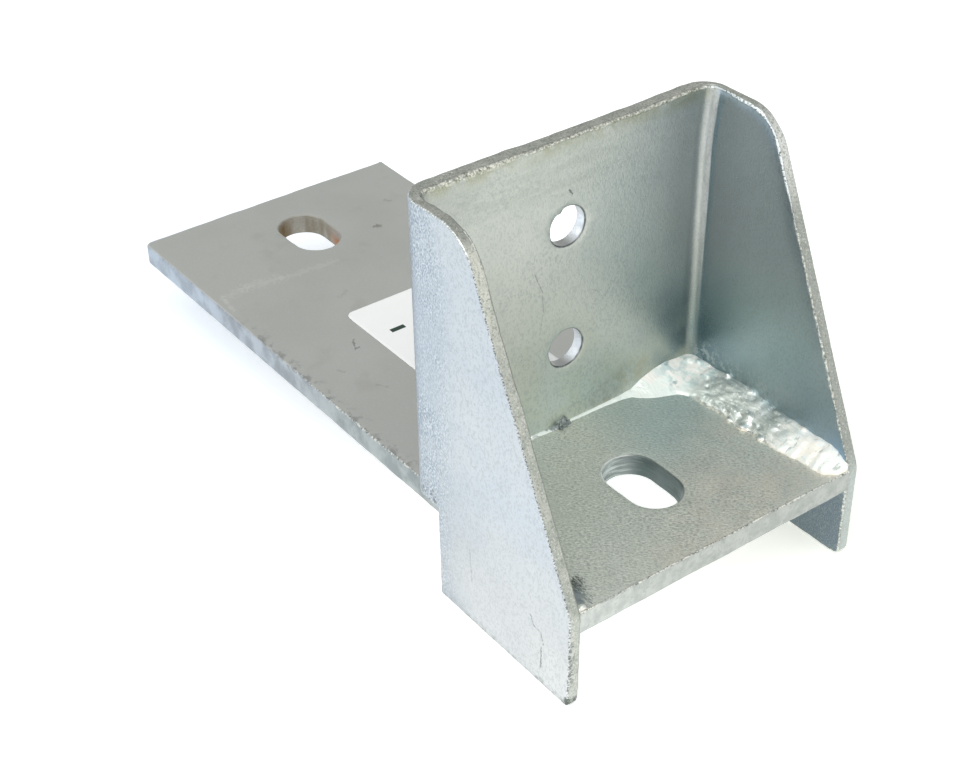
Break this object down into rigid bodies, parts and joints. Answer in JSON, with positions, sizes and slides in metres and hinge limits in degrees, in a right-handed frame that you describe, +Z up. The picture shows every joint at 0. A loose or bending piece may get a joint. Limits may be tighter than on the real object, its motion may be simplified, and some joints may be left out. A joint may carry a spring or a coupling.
{
  "type": "welded gate bracket",
  "caption": "Galvanised steel bracket: a U-folded saddle with tapered cheeks welded across a slotted flat-bar tongue.",
  "frame": {"origin": "midway between the two slots of the flat bar, on its underside", "axes": "+Z up out of the bar towards the web's top, +Y along the bar to the end of the tongue, X across the bracket"},
  "size_m": [0.0864, 0.1935, 0.102],
  "materials": {
    "galvanised_bar": "hot-dip galvanised, dull mottled grey, with rust on the wall of the rear slot",
    "galvanised_sheet": "hot-dip galvanised, satin, fine orange-peel surface and rough cut edges",
    "weld_bead": "bright lumpy weld metal under zinc",
    "label_paper": "matt white paper"
  },
  "bodies": {
    "root": {"base_plate": "galvanised_bar", "cheek_channel": "galvanised_sheet", "weld_right": "weld_bead", "weld_left": "weld_bead", "weld_tack": "weld_bead", "label": "label_paper"}
  },
  "joints": []
}
